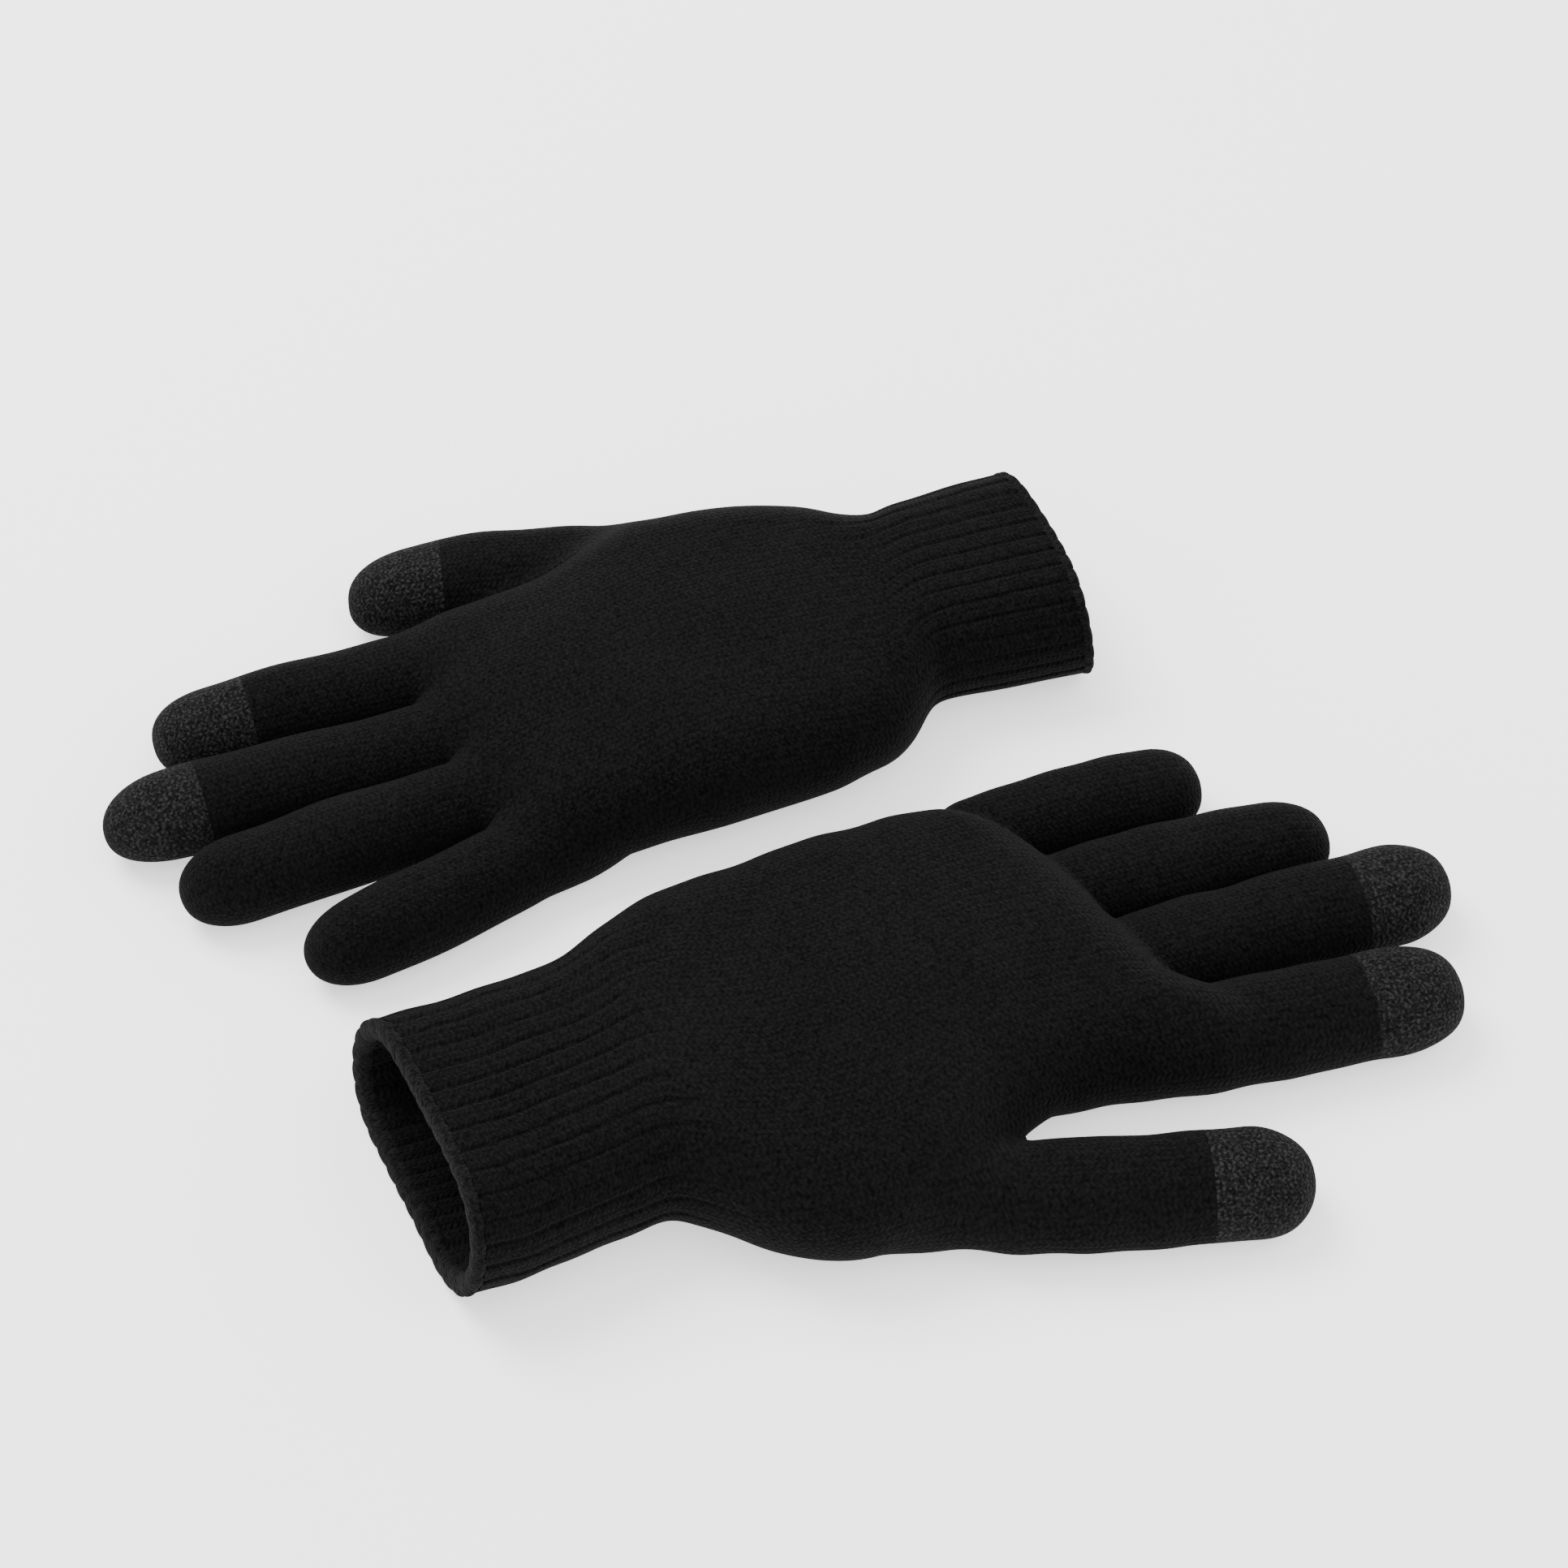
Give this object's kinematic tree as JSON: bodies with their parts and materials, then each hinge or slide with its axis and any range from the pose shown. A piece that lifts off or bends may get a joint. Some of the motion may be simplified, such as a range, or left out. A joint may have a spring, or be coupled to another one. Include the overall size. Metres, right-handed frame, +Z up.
{
  "type": "touchscreen gloves",
  "caption": "Pair of knitted winter gloves with ribbed elastic cuffs and lighter conductive tips on thumb, index and middle fingers; fingers, thumbs and cuffs fold.",
  "frame": {"origin": "middle of the pair on the surface they lie on", "axes": "+X along the right glove's fingers, +Y from the right glove to the left one, +Z up"},
  "size_m": [0.2464, 0.2101, 0.03],
  "materials": {
    "knit": "plain black stockinette knit, soft brushed acrylic yarn, matte",
    "rib_knit": "black rib knit, matte, ribs about 4 mm apart",
    "overlock": "black overlocked edge, rolled and slightly lighter",
    "elastic": "black covered rubber thread",
    "touch_knit": "dark grey melange knit with conductive fibre, speckled"
  },
  "bodies": {
    "right_hand": {"right_hand_shell": "knit"},
    "right_wrist": {"right_cuff": "rib_knit", "right_cuff_hem": "overlock", "right_cuff_elastic": "elastic"},
    "right_thumb_root": {"right_thumb_root_tube": "knit"},
    "right_thumb_outer": {"right_thumb_outer_tube": "knit", "right_thumb_touch_cap": "touch_knit"},
    "right_index_root": {"right_index_root_tube": "knit"},
    "right_index_outer": {"right_index_outer_tube": "knit", "right_index_touch_cap": "touch_knit"},
    "right_middle_root": {"right_middle_root_tube": "knit"},
    "right_middle_outer": {"right_middle_outer_tube": "knit", "right_middle_touch_cap": "touch_knit"},
    "right_ring_root": {"right_ring_root_tube": "knit"},
    "right_ring_outer": {"right_ring_outer_tube": "knit"},
    "right_little_root": {"right_little_root_tube": "knit"},
    "right_little_outer": {"right_little_outer_tube": "knit"},
    "left_hand": {"left_hand_shell": "knit"},
    "left_wrist": {"left_cuff": "rib_knit", "left_cuff_hem": "overlock", "left_cuff_elastic": "elastic"},
    "left_thumb_root": {"left_thumb_root_tube": "knit"},
    "left_thumb_outer": {"left_thumb_outer_tube": "knit", "left_thumb_touch_cap": "touch_knit"},
    "left_index_root": {"left_index_root_tube": "knit"},
    "left_index_outer": {"left_index_outer_tube": "knit", "left_index_touch_cap": "touch_knit"},
    "left_middle_root": {"left_middle_root_tube": "knit"},
    "left_middle_outer": {"left_middle_outer_tube": "knit", "left_middle_touch_cap": "touch_knit"},
    "left_ring_root": {"left_ring_root_tube": "knit"},
    "left_ring_outer": {"left_ring_outer_tube": "knit"},
    "left_little_root": {"left_little_root_tube": "knit"},
    "left_little_outer": {"left_little_outer_tube": "knit"}
  },
  "joints": [
    {"name": "right_wrist_fold", "type": "hinge", "parent": "right_hand", "child": "right_wrist", "pos_m": [-0.0388, -0.0453, 0.0145], "axis": [0, 1, 0], "range_deg": [0, 40]},
    {"name": "right_thumb_root_fold", "type": "hinge", "parent": "right_hand", "child": "right_thumb_root", "pos_m": [0.0247, -0.0863, 0.0085], "axis": [-0.225, -0.9744, 0], "range_deg": [0, 75]},
    {"name": "right_thumb_knuckle_fold", "type": "hinge", "parent": "right_thumb_root", "child": "right_thumb_outer", "pos_m": [0.04577, -0.09116, 0.0085], "axis": [-0.225, -0.9744, 0], "range_deg": [0, 80]},
    {"name": "right_index_root_fold", "type": "hinge", "parent": "right_hand", "child": "right_index_root", "pos_m": [0.0622, -0.0615, 0.00775], "axis": [-0.061, -0.9981, 0], "range_deg": [0, 75]},
    {"name": "right_index_knuckle_fold", "type": "hinge", "parent": "right_index_root", "child": "right_index_outer", "pos_m": [0.08722, -0.06303, 0.00775], "axis": [-0.061, -0.9981, 0], "range_deg": [0, 80]},
    {"name": "right_middle_root_fold", "type": "hinge", "parent": "right_hand", "child": "right_middle_root", "pos_m": [0.0617, -0.0402, 0.00775], "axis": [-0.014, -0.9999, 0], "range_deg": [0, 75]},
    {"name": "right_middle_knuckle_fold", "type": "hinge", "parent": "right_middle_root", "child": "right_middle_outer", "pos_m": [0.08999, -0.04059, 0.00775], "axis": [-0.014, -0.9999, 0], "range_deg": [0, 80]},
    {"name": "right_ring_root_fold", "type": "hinge", "parent": "right_hand", "child": "right_ring_root", "pos_m": [0.0567, -0.0209, 0.00775], "axis": [-0.0087, -1, 0], "range_deg": [0, 75]},
    {"name": "right_ring_knuckle_fold", "type": "hinge", "parent": "right_ring_root", "child": "right_ring_outer", "pos_m": [0.07901, -0.02109, 0.00775], "axis": [-0.0087, -1, 0], "range_deg": [0, 80]},
    {"name": "right_little_root_fold", "type": "hinge", "parent": "right_hand", "child": "right_little_root", "pos_m": [0.0487, -0.0015, 0.0075], "axis": [-0.0175, -0.9998, 0], "range_deg": [0, 75]},
    {"name": "right_little_knuckle_fold", "type": "hinge", "parent": "right_little_root", "child": "right_little_outer", "pos_m": [0.06641, -0.00181, 0.0075], "axis": [-0.0175, -0.9998, 0], "range_deg": [0, 45]},
    {"name": "left_glove_lift", "type": "slide", "parent": "right_hand", "child": "left_hand", "axis": [0, 0, 1], "range_m": [0, 0.2]},
    {"name": "left_wrist_fold", "type": "hinge", "parent": "left_hand", "child": "left_wrist", "pos_m": [0.0417, 0.0542, 0.0135], "axis": [0, -1, 0], "range_deg": [0, 40]},
    {"name": "left_thumb_root_fold", "type": "hinge", "parent": "left_hand", "child": "left_thumb_root", "pos_m": [-0.0183, 0.0887, 0.00775], "axis": [0.1908, 0.9816, 0], "range_deg": [0, 50]},
    {"name": "left_thumb_knuckle_fold", "type": "hinge", "parent": "left_thumb_root", "child": "left_thumb_outer", "pos_m": [-0.03884, 0.09269, 0.00775], "axis": [0.1908, 0.9816, 0], "range_deg": [0, 50]},
    {"name": "left_index_root_fold", "type": "hinge", "parent": "left_hand", "child": "left_index_root", "pos_m": [-0.0528, 0.0721, 0.00775], "axis": [-0.0175, 0.9998, 0], "range_deg": [0, 50]},
    {"name": "left_index_knuckle_fold", "type": "hinge", "parent": "left_index_root", "child": "left_index_outer", "pos_m": [-0.07879, 0.07165, 0.00775], "axis": [-0.0175, 0.9998, 0], "range_deg": [0, 50]},
    {"name": "left_middle_root_fold", "type": "hinge", "parent": "left_hand", "child": "left_middle_root", "pos_m": [-0.0528, 0.0543, 0.00775], "axis": [-0.0523, 0.9986, 0], "range_deg": [0, 50]},
    {"name": "left_middle_knuckle_fold", "type": "hinge", "parent": "left_middle_root", "child": "left_middle_outer", "pos_m": [-0.08519, 0.0526, 0.00775], "axis": [-0.0523, 0.9986, 0], "range_deg": [0, 50]},
    {"name": "left_ring_root_fold", "type": "hinge", "parent": "left_hand", "child": "left_ring_root", "pos_m": [-0.0523, 0.037, 0.00775], "axis": [-0.1271, 0.9919, 0], "range_deg": [0, 50]},
    {"name": "left_ring_knuckle_fold", "type": "hinge", "parent": "left_ring_root", "child": "left_ring_outer", "pos_m": [-0.07968, 0.03349, 0.00775], "axis": [-0.1271, 0.9919, 0], "range_deg": [0, 50]},
    {"name": "left_little_root_fold", "type": "hinge", "parent": "left_hand", "child": "left_little_root", "pos_m": [-0.0483, 0.0186, 0.00775], "axis": [-0.2756, 0.9613, 0], "range_deg": [0, 50]},
    {"name": "left_little_knuckle_fold", "type": "hinge", "parent": "left_little_root", "child": "left_little_outer", "pos_m": [-0.0682, 0.01289, 0.00775], "axis": [-0.2756, 0.9613, 0], "range_deg": [0, 50]}
  ]
}
